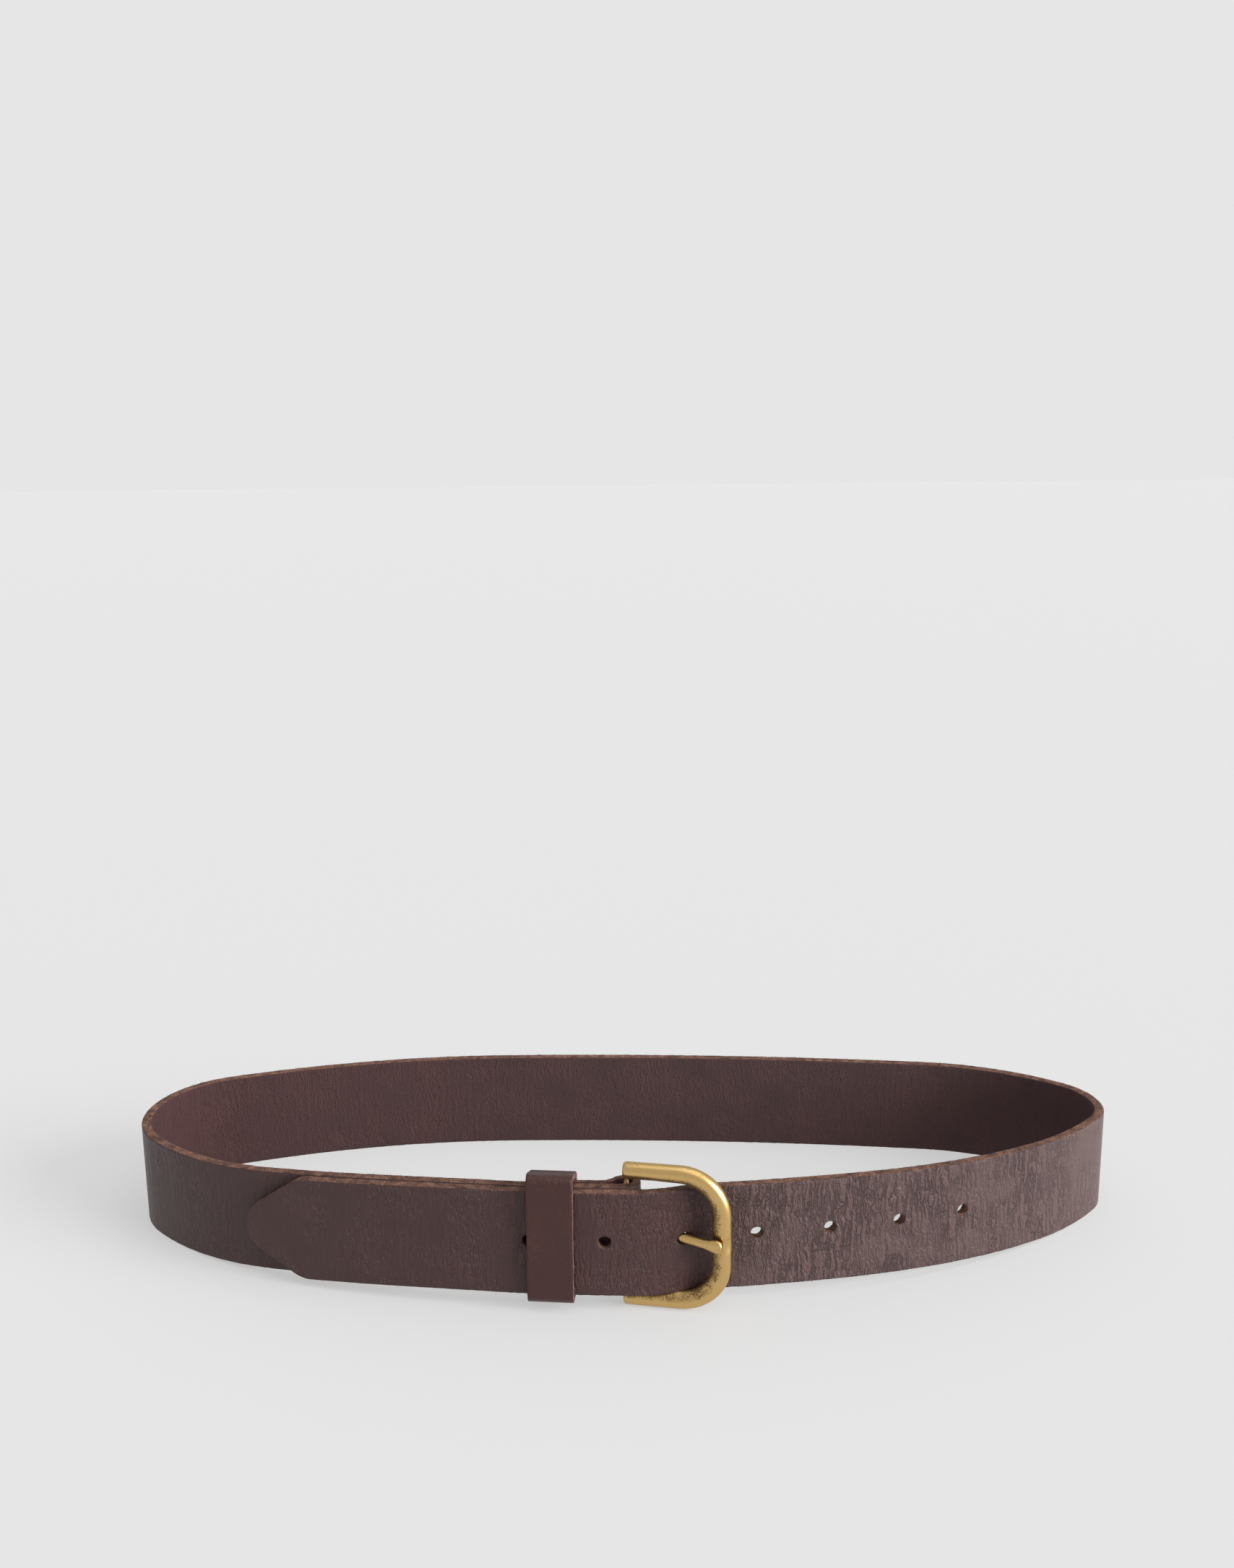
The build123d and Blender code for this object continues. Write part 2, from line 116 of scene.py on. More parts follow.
class Line:
    """A chain of arcs through stations, measured by the run along it in millimetres."""

    def __init__(self, stations):
        self.parts, self.marks, run = [], [0.0], 0.0
        for start, end in zip(stations, stations[1:]):
            chord, turn = math.dist(start[:2], end[:2]), end[2] - start[2]
            radius = chord / (2 * math.sin(math.radians(abs(turn)) / 2)) if abs(turn) > 1e-7 else None
            length = chord if radius is None else radius * math.radians(abs(turn))
            self.parts.append((start, radius, turn, run, length))
            run += length
            self.marks.append(run)
        self.length = run

    def at(self, run):
        for start, radius, turn, begin, length in self.parts:
            if run <= begin + length or begin + length >= self.length - 1e-9:
                step = run - begin
                if radius is None:
                    h = math.radians(start[2])
                    return start[0] + step * math.cos(h), start[1] + step * math.sin(h), start[2]
                return arc_on(start, radius, turn * step / length) if abs(step) > 1e-9 else start

    def run_at_x(self, x, low, high):
        """The run between low and high where the line passes x."""
        rising = self.at(high)[0] > self.at(low)[0]
        for _ in range(60):
            middle = (low + high) / 2
            if (self.at(middle)[0] < x) == rising:
                low = middle
            else:
                high = middle
        return low


# %% [markdown]
# ## The sizes of the belt
# These repeat the driving sizes of the CAD part: the strap's section, the arcs of the loop's outer
# face and the places along the front. The loop's overall box is read from the frame, so the strap sits
# where its CAD solid sits. The strap's line starts a little beyond the belt's tip.

# %% Sizes and the strap's middle line
strap_width, strap_thickness = 38.0, 3.6
layer_gap, fold_gap = 0.45, 0.15
half_strap = strap_thickness / 2
front_x, back_x = 13.9, -47.4
bar_x, bar_radius, bar_fit = 0.4, 2.0, 0.1
quarters = {  # radius and turn of the tight arc at the end, then turn of the middle arc
    "right_front": (20.1, 42.1, 16.2),
    "right_back": (25.9, 51.0, 31.3),
    "left_back": (35.2, 43.9, 26.5),
    "left_front": (34.1, 44.0, 27.8),
}
loop_low, loop_high = (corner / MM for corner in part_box("strap"))
half_width = (loop_high.x - loop_low.x) / 2
back_y = loop_high.y
front_y = back_y - 130.4
side_y = {"right": (front_y + back_y) / 2 + 11.1, "left": (front_y + back_y) / 2 + 11.5}


def quarter_radii(width, depth, quarter):
    end_radius, end_turn, mid_turn = quarter
    c1, s1 = math.cos(math.radians(end_turn)), math.sin(math.radians(end_turn))
    both = math.radians(end_turn + mid_turn)
    c2, s2 = math.cos(both), math.sin(both)
    a, b = width - end_radius * (1 - c1), depth - end_radius * s1
    whole = (c1 - c2) * (1 - s2) - c2 * (s2 - s1)
    return end_radius, (a * (1 - s2) - b * c2) / whole, (b * (c1 - c2) - a * (s2 - s1)) / whole


radii = {
    "right_front": quarter_radii(half_width - front_x, side_y["right"] - front_y, quarters["right_front"]),
    "right_back": quarter_radii(half_width - back_x, back_y - side_y["right"], quarters["right_back"]),
    "left_back": quarter_radii(half_width + back_x, back_y - side_y["left"], quarters["left_back"]),
    "left_front": quarter_radii(half_width + front_x, side_y["left"] - front_y, quarters["left_front"]),
}


def on_front(x):
    """The station of the strap's outer face at x, on the long arcs of the front."""
    radius = radii["right_front"][2] if x > front_x else radii["left_front"][2]
    heading = math.asin((x - front_x) / radius)
    return x, front_y + radius * (1 - math.cos(heading)), math.degrees(heading)


loop = [on_front(front_x)]
way_round = (("right_front", False), ("right_back", True), ("left_back", False), ("left_front", True))
for name, from_end in way_round:
    _, end_turn, mid_turn = quarters[name]
    steps = list(zip(radii[name], (end_turn, mid_turn, 90 - end_turn - mid_turn)))
    for radius, turn in steps if from_end else steps[::-1]:
        loop.append(arc_on(loop[-1], radius, turn))

free_offset = layer_gap + half_strap
apex_x = -142.6
free_start = beside(on_front(bar_x + bar_radius), free_offset)
single_start = beside(on_front(bar_x + 31.4 + 1.5), -half_strap)
x, y, heading = beside(on_front(bar_x), -half_strap)
bar_station = (x, y, heading + 360)
fold_end = arc_on(bar_station, bar_radius + bar_fit + half_strap, 180)


def on_tail(x):
    x, y, heading = beside(on_front(x), -(strap_thickness + fold_gap + half_strap))
    return x, y, heading + 540


stations = [beside(on_front(apex_x - 4), free_offset), free_start]
stations += [joint_of(free_start, single_start), single_start]
stations += [beside(station, -half_strap) for station in loop[1:-1]]
stations += [bar_station, fold_end, joint_of(fold_end, on_tail(-9.0)), on_tail(-9.0), on_tail(-29.0)]
strap_line = Line(stations)
marks = strap_line.marks
free_mark, single_mark, bar_mark, fold_mark = marks[1], marks[3], marks[-5], marks[-4]
print("line of the strap", round(strap_line.length), "mm long; loop", len(loop), "stations")

# %% [markdown]
# ## The lift of the front
# The buckle is taller than the strap, so near it the strap is held a few millimetres off the ground.
# The strap comes down to the ground again in a long soft S on each side.


# %% Lift
def lift_at(x, y):
    if y > side_y["right"]:
        return 0.0
    share = min(max((185.0 - abs(x)) / 140.0, 0.0), 1.0)
    return 6.0 * share * share * (3 - 2 * share)


def on_strap(run, height, out):
    """The place on the loop of a spot on the flat strap, in metres."""
    x, y, heading = strap_line.at(run)
    if run > bar_mark:  # pared thinner on its way round the bar, from the outside
        share = min(1.0, (run - bar_mark) / (fold_mark - bar_mark))
        out = -half_strap + (out + half_strap) * (1 - 0.44 * share * share * (3 - 2 * share))
    h = math.radians(heading)
    return Vector((x + out * math.sin(h), y - out * math.cos(h), height + lift_at(x, y))) * MM


# %% [markdown]
# ## Cutting, punching and thickening leather
# Leather parts are made flat. A sheet starts as a grid whose columns can be set anywhere along the
# run: close together where it will bend hard, and exactly on each hole. For a hole, a patch is taken out
# of the grid, and its border is extruded inwards twice and spread evenly round a circle, so the hole is
# really round. The sheet then gets its thickness, its corners are bevelled a little, and the cut sides
# are divided so they can be rough.
# Each vertex keeps its flat place as a UV map, and its depth in the leather as the attribute `layer`:
# 1 on the grain face, -1 on the flesh face and in between on the cut sides.


# %% The leather worker's helpers
def spaced(stops):
    """Runs from the first stop to the last: (run, pitch up to the next stop)."""
    runs = [stops[0][0]]
    for (a, pitch), (b, _) in zip(stops, stops[1:]):
        count = max(1, math.ceil((b - a) / pitch - 0.02))
        runs += [a + (b - a) * i / count for i in range(1, count + 1)]
    return runs


def flat_sheet(columns, rows):
    bm = bmesh.new()
    wide, high = len(columns) - 1, len(rows) - 1
    bmesh.ops.create_grid(bm, x_segments=wide, y_segments=high, size=0.5)
    for v in bm.verts:
        v.co.x = columns[round((v.co.x + 0.5) * wide)]
        v.co.y = rows[round((v.co.y + 0.5) * high)]
    return bm


def punch(bm, centre, radius, reach=(3.95, 4.0), stretch=1.0, push=0.0):
    """Makes a round hole, or an oval one stretched along the run."""
    patch = []
    for f in bm.faces:
        middle = f.calc_center_median()
        if abs(middle.x - centre[0]) < reach[0] and abs(middle.y - centre[1]) < reach[1]:
            patch.append(f)
    patch_edges = {e for f in patch for e in f.edges}
    edges = [e for e in patch_edges if sum(f in patch for f in e.link_faces) == 1]
    bmesh.ops.delete(bm, geom=patch, context="FACES")
    for share in (0.5, 1.0):
        made = bmesh.ops.extrude_edge_only(bm, edges=edges)["geom"]
        ring = [g for g in made if isinstance(g, bmesh.types.BMVert)]
        edges = [g for g in made if isinstance(g, bmesh.types.BMEdge) and all(v in ring for v in g.verts)]
        ring.sort(key=lambda v: math.atan2(v.co.y - centre[1], v.co.x - centre[0]))
        step = 2 * math.pi / len(ring)
        turns = [math.atan2(v.co.y - centre[1], v.co.x - centre[0]) - i * step for i, v in enumerate(ring)]
        start = sum(turns) / len(turns)
        for i, v in enumerate(ring):
            angle = start + i * step
            x = centre[0] + push + radius * stretch * math.cos(angle)
            y = centre[1] + radius * math.sin(angle)
            v.co = v.co.lerp(Vector((x, y, 0)), share)


def round_trim(bm, centre, radius, first, last, steps):
    """Trims a convex corner to a circle with a fan of straight cuts."""
    for i in range(steps + 1):
        angle = math.radians(first + (last - first) * i / steps)
        way = Vector((math.cos(angle), math.sin(angle), 0))
        touch = Vector((*centre, 0)) + way * radius
        geometry = bm.verts[:] + bm.edges[:] + bm.faces[:]
        bmesh.ops.bisect_plane(bm, geom=geometry, plane_co=touch, plane_no=way, clear_outer=True)


def thicken(bm, thickness, keep_sharp=(), corner=0.3, side_cuts=3):
    """Gives the sheet its thickness, rounds its corners and marks each vertex with its layer."""
    bmesh.ops.remove_doubles(bm, verts=bm.verts, dist=0.12)
    bmesh.ops.recalc_face_normals(bm, faces=bm.faces)
    if sum(f.normal.z for f in bm.faces) < 0:
        bmesh.ops.reverse_faces(bm, faces=bm.faces)
    bmesh.ops.translate(bm, verts=bm.verts, vec=(0, 0, thickness / 2))
    whole = bmesh.ops.extrude_face_region(bm, geom=bm.faces[:], use_keep_orig=True)
    lower = [g for g in whole["geom"] if isinstance(g, bmesh.types.BMVert)]
    bmesh.ops.translate(bm, verts=lower, vec=(0, 0, -thickness))
    bmesh.ops.recalc_face_normals(bm, faces=bm.faces)
    corners = []
    for e in bm.edges:
        a, b = (v.co for v in e.verts)
        at_seam = any(abs(a.x - run) < 1e-3 and abs(b.x - run) < 1e-3 for run in keep_sharp)
        if len(e.link_faces) == 2 and abs(a.z - b.z) < 1e-6 and not at_seam:
            if e.calc_face_angle(0.0) > math.radians(60):
                corners.append(e)
    rounding = {"offset": corner, "offset_type": "OFFSET", "segments": 2, "profile": 0.5}
    bmesh.ops.bevel(bm, geom=corners, affect="EDGES", material=-1, clamp_overlap=True, **rounding)
    sides = [e for e in bm.edges if abs(e.verts[0].co.z - e.verts[1].co.z) > thickness * 0.6]
    bmesh.ops.subdivide_edges(bm, edges=sides, cuts=side_cuts, use_grid_fill=True)
    layer = bm.verts.layers.float.new("layer")
    for v in bm.verts:
        v[layer] = max(-1.0, min(1.0, v.co.z / (thickness / 2)))
    uv = bm.loops.layers.uv.new("flat")
    for f in bm.faces:
        for corner_loop in f.loops:
            corner_loop[uv].uv = corner_loop.vert.co.xy * MM


def roughen_sides(bm, amount, size):
    """Pushes the cut sides in and out a little, as raw leather is never cut clean."""
    layer = bm.verts.layers.float["layer"]
    bm.normal_update()
    moves = []
    for v in bm.verts:
        flat_way = Vector((v.normal.x, v.normal.y, 0))
        if abs(v[layer]) < 0.99 and flat_way.length > 0.5:
            spot = Vector((v.co.x, v.co.y * 1.3, v.co.z * 1.5)) / size
            moves.append((v, flat_way.normalized() * (noise.fractal(spot, 0.6, 2.0, 4) * amount)))
    for v, move in moves:
        v.co += move


def add_fibres(bm, low, high, edge, count):
    """Loose fibres that stand off a long cut edge, between two runs clear of where the keeper slides."""
    chance = random.Random(count)
    fluff = bmesh.new()
    for _ in range(count):
        length = chance.uniform(0.3, 1.1)
        root = Vector((chance.uniform(low, high), edge, chance.uniform(-1.5, 1.5)))
        aim = Vector((chance.uniform(-1, 1), 1 if edge > 1 else -1, chance.uniform(-0.9, 0.9))).normalized()
        turn = aim.to_track_quat("Z", "Y").to_matrix().to_4x4()
        place = Matrix.Translation(root + aim * length * 0.4) @ turn
        hair = {"segments": 4, "radius1": 0.07, "radius2": 0.02, "depth": length}
        bmesh.ops.create_cone(fluff, cap_ends=True, matrix=place, **hair)
    fluff.verts.layers.float.new("layer")
    uv = fluff.loops.layers.uv.new("flat")
    for f in fluff.faces:
        for corner_loop in f.loops:
            corner_loop[uv].uv = corner_loop.vert.co.xy * MM
    loose = bpy.data.meshes.new("fibres")
    fluff.to_mesh(loose)
    fluff.free()
    bm.from_mesh(loose)
    bpy.data.meshes.remove(loose)


def finish_piece(bm, name, place):
    """Bends the flat solid to its place, in metres, and makes the object."""
    for v in bm.verts:
        v.co = place(v.co.x, v.co.y, v.co.z)
    bmesh.ops.recalc_face_normals(bm, faces=bm.faces)
    mesh = bpy.data.meshes.new(name)
    bm.to_mesh(mesh)
    bm.free()
    mesh.shade_smooth()
    piece = bpy.data.objects.new(name, mesh)
    bpy.context.scene.collection.objects.link(piece)
    print(name, len(mesh.vertices), "vertices", len(mesh.polygons), "faces")
    return piece


# %% [markdown]
# ## The strap
# The long part of the strap runs from under the keeper through the buckle, round the loop, and back to
# the bar, where it folds round and is fixed to itself by two screw posts. The used hole is drawn out to
# an oval by the prong. The slot in the fold lets the prong out. The butt join with the free end is hidden
# under the keeper ring at every place the ring can slide to.

# %% Strap: flat pattern
seam_x, hole_height, post_heights = -26.6, 20.0, (9.5, 28.5)
seam = strap_line.run_at_x(seam_x, 0, free_mark)
front_runs = {}
for label, x, low, high in (
    ("hole_6", -6.993, 0, free_mark),
    ("prong_hole", 17.6, free_mark, marks[4]),
    ("hole_4", 44.93, single_mark, marks[4]),
    ("hole_3", 70.567, single_mark, marks[4]),
    ("hole_2", 95.668, single_mark, marks[5]),
    ("hole_1", 119.997, single_mark, marks[6]),
):
    front_runs[label] = strap_line.run_at_x(x, low, high)
base_left = marks[-6]
post_run = strap_line.run_at_x(-12.2, base_left, bar_mark)
slot_from = strap_line.run_at_x(-5.5, base_left, bar_mark)
tail_runs = [strap_line.run_at_x(x, fold_mark, strap_line.length) for x in (-5.5, -12.2)]

stops = [(seam, 1.3)] + [(run, 1.3) for run in front_runs.values()]
stops += [(front_runs["hole_1"] + 6.5, 1.6), (post_run - 6.5, 1.3)]
stops += [(post_run, 1.3), (slot_from, 0.6), (bar_mark, 0.45), (fold_mark, 0.6)]
stops += [(tail_runs[0], 1.3), (tail_runs[1], 1.3), (strap_line.length, 1.3)]
rows = [float(i) for i in range(int(strap_width) + 1)]
bm = flat_sheet(spaced(stops), rows)
slot_faces = []
for f in bm.faces:
    middle = f.calc_center_median()
    if slot_from < middle.x < tail_runs[0] and abs(middle.y - hole_height) < 2.0:
        slot_faces.append(f)
bmesh.ops.delete(bm, geom=slot_faces, context="FACES")
for label, run in front_runs.items():
    if label != "prong_hole":
        punch(bm, (run, hole_height), 2.15)
punch(bm, (front_runs["prong_hole"], hole_height), 2.25, reach=(8.0, 5.0), stretch=1.55, push=3.2)
for run in (post_run, tail_runs[1]):
    for post_height in post_heights:
        punch(bm, (run, post_height), 3.65, reach=(5.3, 5.1))
print("flat strap", len(bm.faces), "faces, seam at", round(seam, 1), "mm from the line's start")

# %% Strap: thickness, raw sides and bend
thicken(bm, strap_thickness, keep_sharp=(seam,))
prong_run = front_runs["prong_hole"]
for v in bm.verts:  # the used hole slants through the leather as the prong does
    far = max(abs(v.co.x - prong_run - 2.0) / 7.0, abs(v.co.y - hole_height) / 4.6)
    if far < 1.0:
        v.co.x += (v.co.z - half_strap) * 1.25 * min(1.0, 2.2 * (1.0 - far))
roughen_sides(bm, 0.12, 0.9)
before_keeper = strap_line.run_at_x(-46.0, base_left, bar_mark)
add_fibres(bm, front_runs["hole_6"], before_keeper, strap_width, 680)
add_fibres(bm, front_runs["hole_6"], front_runs["hole_2"], 0.0, 140)
strap = finish_piece(bm, "strap_leather", on_strap)
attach(strap, "strap")
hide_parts("strap")

# %% [markdown]
# ## The free end
# The free end is cut to a blunt point: two slanted cuts, a round nose and softly rounded shoulders. It
# is trimmed with a fan of straight cuts, as a knife would do it. It follows the strap at the keeper
# and turns with the flex joint further out, so the leather bends instead of breaking.

# %% Free end: pattern, point and bend
tip_x, tip_radius, shoulder_radius, slant = -134.5, 10.0, 12.0, 32.3
tip_run = strap_line.run_at_x(tip_x, 0, free_mark)
last_hole = strap_line.run_at_x(-32.919, 0, free_mark)
nose = (tip_run + tip_radius, strap_width / 2)
bm = flat_sheet(spaced([(tip_run - 2, 1.3), (last_hole, 1.3), (seam, 1.3)]), rows)
punch(bm, (last_hole, hole_height), 2.15)
round_trim(bm, nose, tip_radius, 90 + slant, 270 - slant, 14)
way = Vector((math.cos(math.radians(90 + slant)), math.sin(math.radians(90 + slant))))
shoulder_y = strap_width - shoulder_radius
shoulder = (Vector(nose).dot(way) + tip_radius - shoulder_radius - way.y * shoulder_y) / way.x
round_trim(bm, (shoulder, shoulder_y), shoulder_radius, 91, 90 + slant, 5)
round_trim(bm, (shoulder, strap_width - shoulder_y), shoulder_radius, 270 - slant, 269, 5)
thicken(bm, strap_thickness, keep_sharp=(seam,))
roughen_sides(bm, 0.12, 0.9)
past_keeper = strap_line.run_at_x(-44.0, 0, free_mark)
add_fibres(bm, tip_run + 22, past_keeper, strap_width, 75)
add_fibres(bm, tip_run + 22, past_keeper, 0.0, 76)
free_end = finish_piece(bm, "free_end_leather", on_strap)
flex_x = joints["free_end_flex"]["pos_m"][0]
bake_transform(free_end, "strap", "free_end", start=(flex_x + 0.003, 0, 0), end=(flex_x - 0.022, 0, 0))
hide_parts("strap_free_end")

# %% [markdown]
# ## The keeper ring
# The keeper is a short strip of thinner leather, bent to a ring with tight folds and butted at the
# back. It is made like the strap: cut flat, thickened, then bent along a closed line of straight runs and
# small arcs. It stands taller than the strap, its top slopes down to the back, and it leans a little.

# %% Keeper
keeper_low, keeper_high = (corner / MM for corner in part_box("keeper"))
keeper_width, keeper_thickness, fold_radius = 15.8, 2.3, 2.1
keeper_centre = (keeper_low + keeper_high) / 2
keeper_way = Vector(joints["keeper_slide"]["axis"]).normalized()
keeper_out = Vector((keeper_way.y, -keeper_way.x, 0))
half_deep = (keeper_high.y - keeper_low.y - keeper_width * abs(keeper_way.y)) / 2 / abs(keeper_out.y)
half_deep -= keeper_thickness / 2
half_tall = (keeper_high.z - keeper_low.z - keeper_thickness) / 2
pinch, shoulder = 2.6, half_tall - 4.1
corners = [(-half_deep, -half_tall), (half_deep, -half_tall), (half_deep, half_tall)]
corners += [(half_deep - pinch, half_tall), (-half_deep, shoulder)]
seam_gap = 0.2
ring = [(-half_deep, -seam_gap, -90)]
for i, corner in enumerate(corners):
    before, after = Vector(corners[i - 1]), Vector(corners[(i + 1) % len(corners)])
    way_in, way_out = (Vector(corner) - before).normalized(), (after - Vector(corner)).normalized()
    turn = math.degrees(way_in.angle(way_out))
    reach = min(fold_radius, 1.4) if i in (2, 3) else fold_radius
    entry = Vector(corner) - way_in * reach * math.tan(math.radians(turn / 2))
    ring.append((entry.x, entry.y, ring[-1][2]))
    ring.append(arc_on(ring[-1], reach, turn))
ring.append((-half_deep, seam_gap, 270))
keeper_line = Line(ring)
ring_stops = []
for i, mark in enumerate(keeper_line.marks):
    ring_stops.append((mark, 0.45 if i % 2 else 1.0))
bm = flat_sheet(spaced(ring_stops), [i * keeper_width / 14 - keeper_width / 2 for i in range(15)])
thicken(bm, keeper_thickness, corner=0.25)
roughen_sides(bm, 0.1, 0.7)
lean = Matrix.Rotation(math.radians(-0.25), 3, keeper_out)


def on_keeper(run, across, out):
    a, b, heading = keeper_line.at(run)
    h = math.radians(heading)
    a, b = a + out * math.sin(h), b - out * math.cos(h)
    spot = lean @ (keeper_out * a + keeper_way * across + Vector((0, 0, b)))
    return (spot + keeper_centre) * MM


keeper = finish_piece(bm, "keeper_leather", on_keeper)
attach(keeper, "keeper")
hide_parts("keeper")

# %% [markdown]
# ## The buckle frame
# The frame is one brass casting: a wire with a soft ridge along its front, bent to a D, with blunt ends
# that reach back to the bar. The profile starts as a circle and is pressed to its section: steep and
# round outside, a flatter slope inside. It is then extruded along the arms and spun round the corners.
# Each vertex keeps its place on the profile as `across` and `ahead`, so the ridge and the notch for the
# prong can be worked, and worn, afterwards.

# %% Buckle frame: profile and sweep
bar = Vector(joints["buckle_swing"]["pos_m"]) / MM
frame_level, prong_height, lug_radius = 26.5, 26.0, 1.7
arm_start, arm_forward, arm_tilt, arm_length = 1.5, 4.7, 10.2, 31.4
frame_half, corner_radius = 53.0 / 2 - 3.1, 14.6
bm = bmesh.new()
across_mark = bm.verts.layers.float.new("across")
ahead_mark = bm.verts.layers.float.new("ahead")

wire = bmesh.ops.create_circle(bm, segments=28, radius=1.0, cap_ends=False)["verts"]
for v in wire:
    angle = math.atan2(v.co.y, v.co.x)
    c, s = math.cos(angle), math.sin(angle)
    bulge = 1.0 - 0.13 * max(0.0, -c) * max(0.0, s) * 2.0
    v[across_mark], v[ahead_mark] = c * bulge, s * bulge
    v.co = Vector((0.0, frame_half + v[across_mark] * 3.1, v[ahead_mark] * 2.85))


def onward(edges, way, steps):
    """Extrudes the open ring of edges in equal steps, and gives the last ring."""
    for _ in range(steps):
        made = bmesh.ops.extrude_edge_only(bm, edges=edges)["geom"]
        moved = [g for g in made if isinstance(g, bmesh.types.BMVert)]
        bmesh.ops.translate(bm, verts=moved, vec=Vector(way) / steps)
        edges = [g for g in made if isinstance(g, bmesh.types.BMEdge) and all(v in moved for v in g.verts)]
    return edges


def turned(edges, centre, angle, steps):
    """Spins the open ring of edges round an upright axis of the frame's plane."""
    sweep = {"cent": (*centre, 0), "axis": (0, 0, 1), "dvec": (0, 0, 0), "angle": math.radians(angle)}
    keep = {"use_merge": False, "use_normal_flip": False, "use_duplicate": False}
    spun = bmesh.ops.spin(bm, geom=edges, steps=steps, **sweep, **keep)
    return [g for g in spun["geom_last"] if isinstance(g, bmesh.types.BMEdge)]


blunt = ((0.45, 0.995), (0.72, 0.97), (0.88, 0.9), (0.97, 0.78), (1.0, 0.6))
full = ((0.3, 0.96), (0.56, 0.87), (0.78, 0.7), (0.93, 0.47), (1.0, 0.22))


def dome(edges, way, reach, shape=blunt):
    """Closes the ring with a rounded end: the shape gives the advance and the size of each step."""
    last = (0.0, 1.0)
    for step in shape:
        made = bmesh.ops.extrude_edge_only(bm, edges=edges)["geom"]
        moved = [g for g in made if isinstance(g, bmesh.types.BMVert)]
        middle = sum((v.co for v in moved), Vector()) / len(moved)
        for v in moved:
            v.co = middle + (v.co - middle) * step[1] / last[1] + Vector(way) * reach * (step[0] - last[0])
        last = step
        edges = [g for g in made if isinstance(g, bmesh.types.BMEdge) and all(v in moved for v in g.verts)]
    bmesh.ops.holes_fill(bm, edges=edges, sides=0)


start_ring = list({e for v in wire for e in v.link_edges})
corner_at = arm_length - corner_radius
ends = onward(start_ring, (corner_at, 0, 0), 12)
ends = turned(ends, (corner_at, frame_half - corner_radius), -90, 16)
ends = onward(ends, (0, -2 * (frame_half - corner_radius), 0), 16)
ends = turned(ends, (corner_at, corner_radius - frame_half), -90, 16)
ends = onward(ends, (-corner_at, 0, 0), 12)
dome(ends, (-1, 0, 0), 2.7)
dome(start_ring, (-1, 0, 0), 2.7)
print("buckle frame", len(bm.faces), "faces swept")


# %% Buckle frame: heavier side, notch, lugs and bar
def wire_out(co):
    """The way outwards from the wire's middle line, in the frame's plane."""
    if co.x < corner_at:
        return Vector((0, math.copysign(1, co.y), 0))
    if abs(co.y) < frame_half - corner_radius:
        return Vector((1, 0, 0))
    middle = Vector((corner_at, math.copysign(frame_half - corner_radius, co.y), 0))
    return Vector((co.x - middle.x, co.y - middle.y, 0)).normalized()


prong_level = prong_height - frame_level
for v in bm.verts:
    heavy = min(1.0, max(0.0, (v.co.x - 8.0) / 18.0))
    inward = max(0.0, -v[across_mark])
    v.co -= wire_out(v.co) * inward * 0.55 * heavy
    if v[ahead_mark] > 0 and v.co.x > 20:
        dip = math.exp(-(((v.co.y - prong_level) / 2.3) ** 4))
        v.co.z -= 1.25 * dip * v[ahead_mark] * (0.55 + 0.45 * min(1.0, inward * 2))
frame_spot = Matrix.Translation(Vector((bar.x + arm_start, bar.y - arm_forward, frame_level + 0.1)))
tilt = math.radians(-arm_tilt)
along, aside = math.cos(tilt), math.sin(tilt)
frame_turn = Matrix(((along, 0, aside), (aside, 0, -along), (0, 1, 0))).to_4x4()
bmesh.ops.transform(bm, matrix=frame_spot @ frame_turn, verts=bm.verts)
for side in (-1, 1):
    top = Vector((bar.x + arm_start + 0.8, bar.y - arm_forward, frame_level + side * (frame_half - 0.2)))
    foot = Vector((bar.x + 0.3, bar.y, frame_level + side * (frame_half - 1.2)))
    turn = (foot - top).to_track_quat("Z", "Y").to_matrix().to_4x4()
    place = Matrix.Translation((top + foot) / 2) @ turn
    lug = {"segments": 20, "radius1": lug_radius, "radius2": lug_radius, "depth": (foot - top).length}
    bmesh.ops.create_cone(bm, cap_ends=True, matrix=place, **lug)
    foot_place = Matrix.Translation(foot)
    bmesh.ops.create_uvsphere(bm, u_segments=20, v_segments=12, radius=lug_radius, matrix=foot_place)
rod = {"segments": 24, "radius1": bar_radius, "radius2": bar_radius, "depth": 46.0}
bar_place = Matrix.Translation(Vector((bar.x, bar.y, frame_level)))
bmesh.ops.create_cone(bm, cap_ends=True, matrix=bar_place, **rod)
bmesh.ops.scale(bm, vec=(MM, MM, MM), verts=bm.verts)
bmesh.ops.recalc_face_normals(bm, faces=bm.faces)
for v in bm.verts:
    ridge = math.exp(-(((v[across_mark] - 0.25) / 0.4) ** 2)) * max(0.0, v[ahead_mark])
    v[across_mark] = min(1.0, ridge + 0.45 * max(0.0, v[across_mark]))
mesh = bpy.data.meshes.new("buckle_brass")
bm.to_mesh(mesh)
bm.free()
mesh.shade_smooth()
buckle = bpy.data.objects.new("buckle_brass", mesh)
bpy.context.scene.collection.objects.link(buckle)
smoother = buckle.modifiers.new("smooth", "SUBSURF")
smoother.levels = smoother.render_levels = 1
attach(buckle, "buckle")
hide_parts("buckle_frame")
print("buckle frame", len(mesh.polygons), "faces before smoothing")

# %% [markdown]
# ## The prong
# The prong is a brass rod curled round the bar at one end. It leaves the fold through its slot, bends
# outwards through the hole and ends in a rounded paddle that lies in the frame's notch. It is swept like
# the frame, in plan: a spin round the bar for the eye, then extrusions and one spin for the bend.

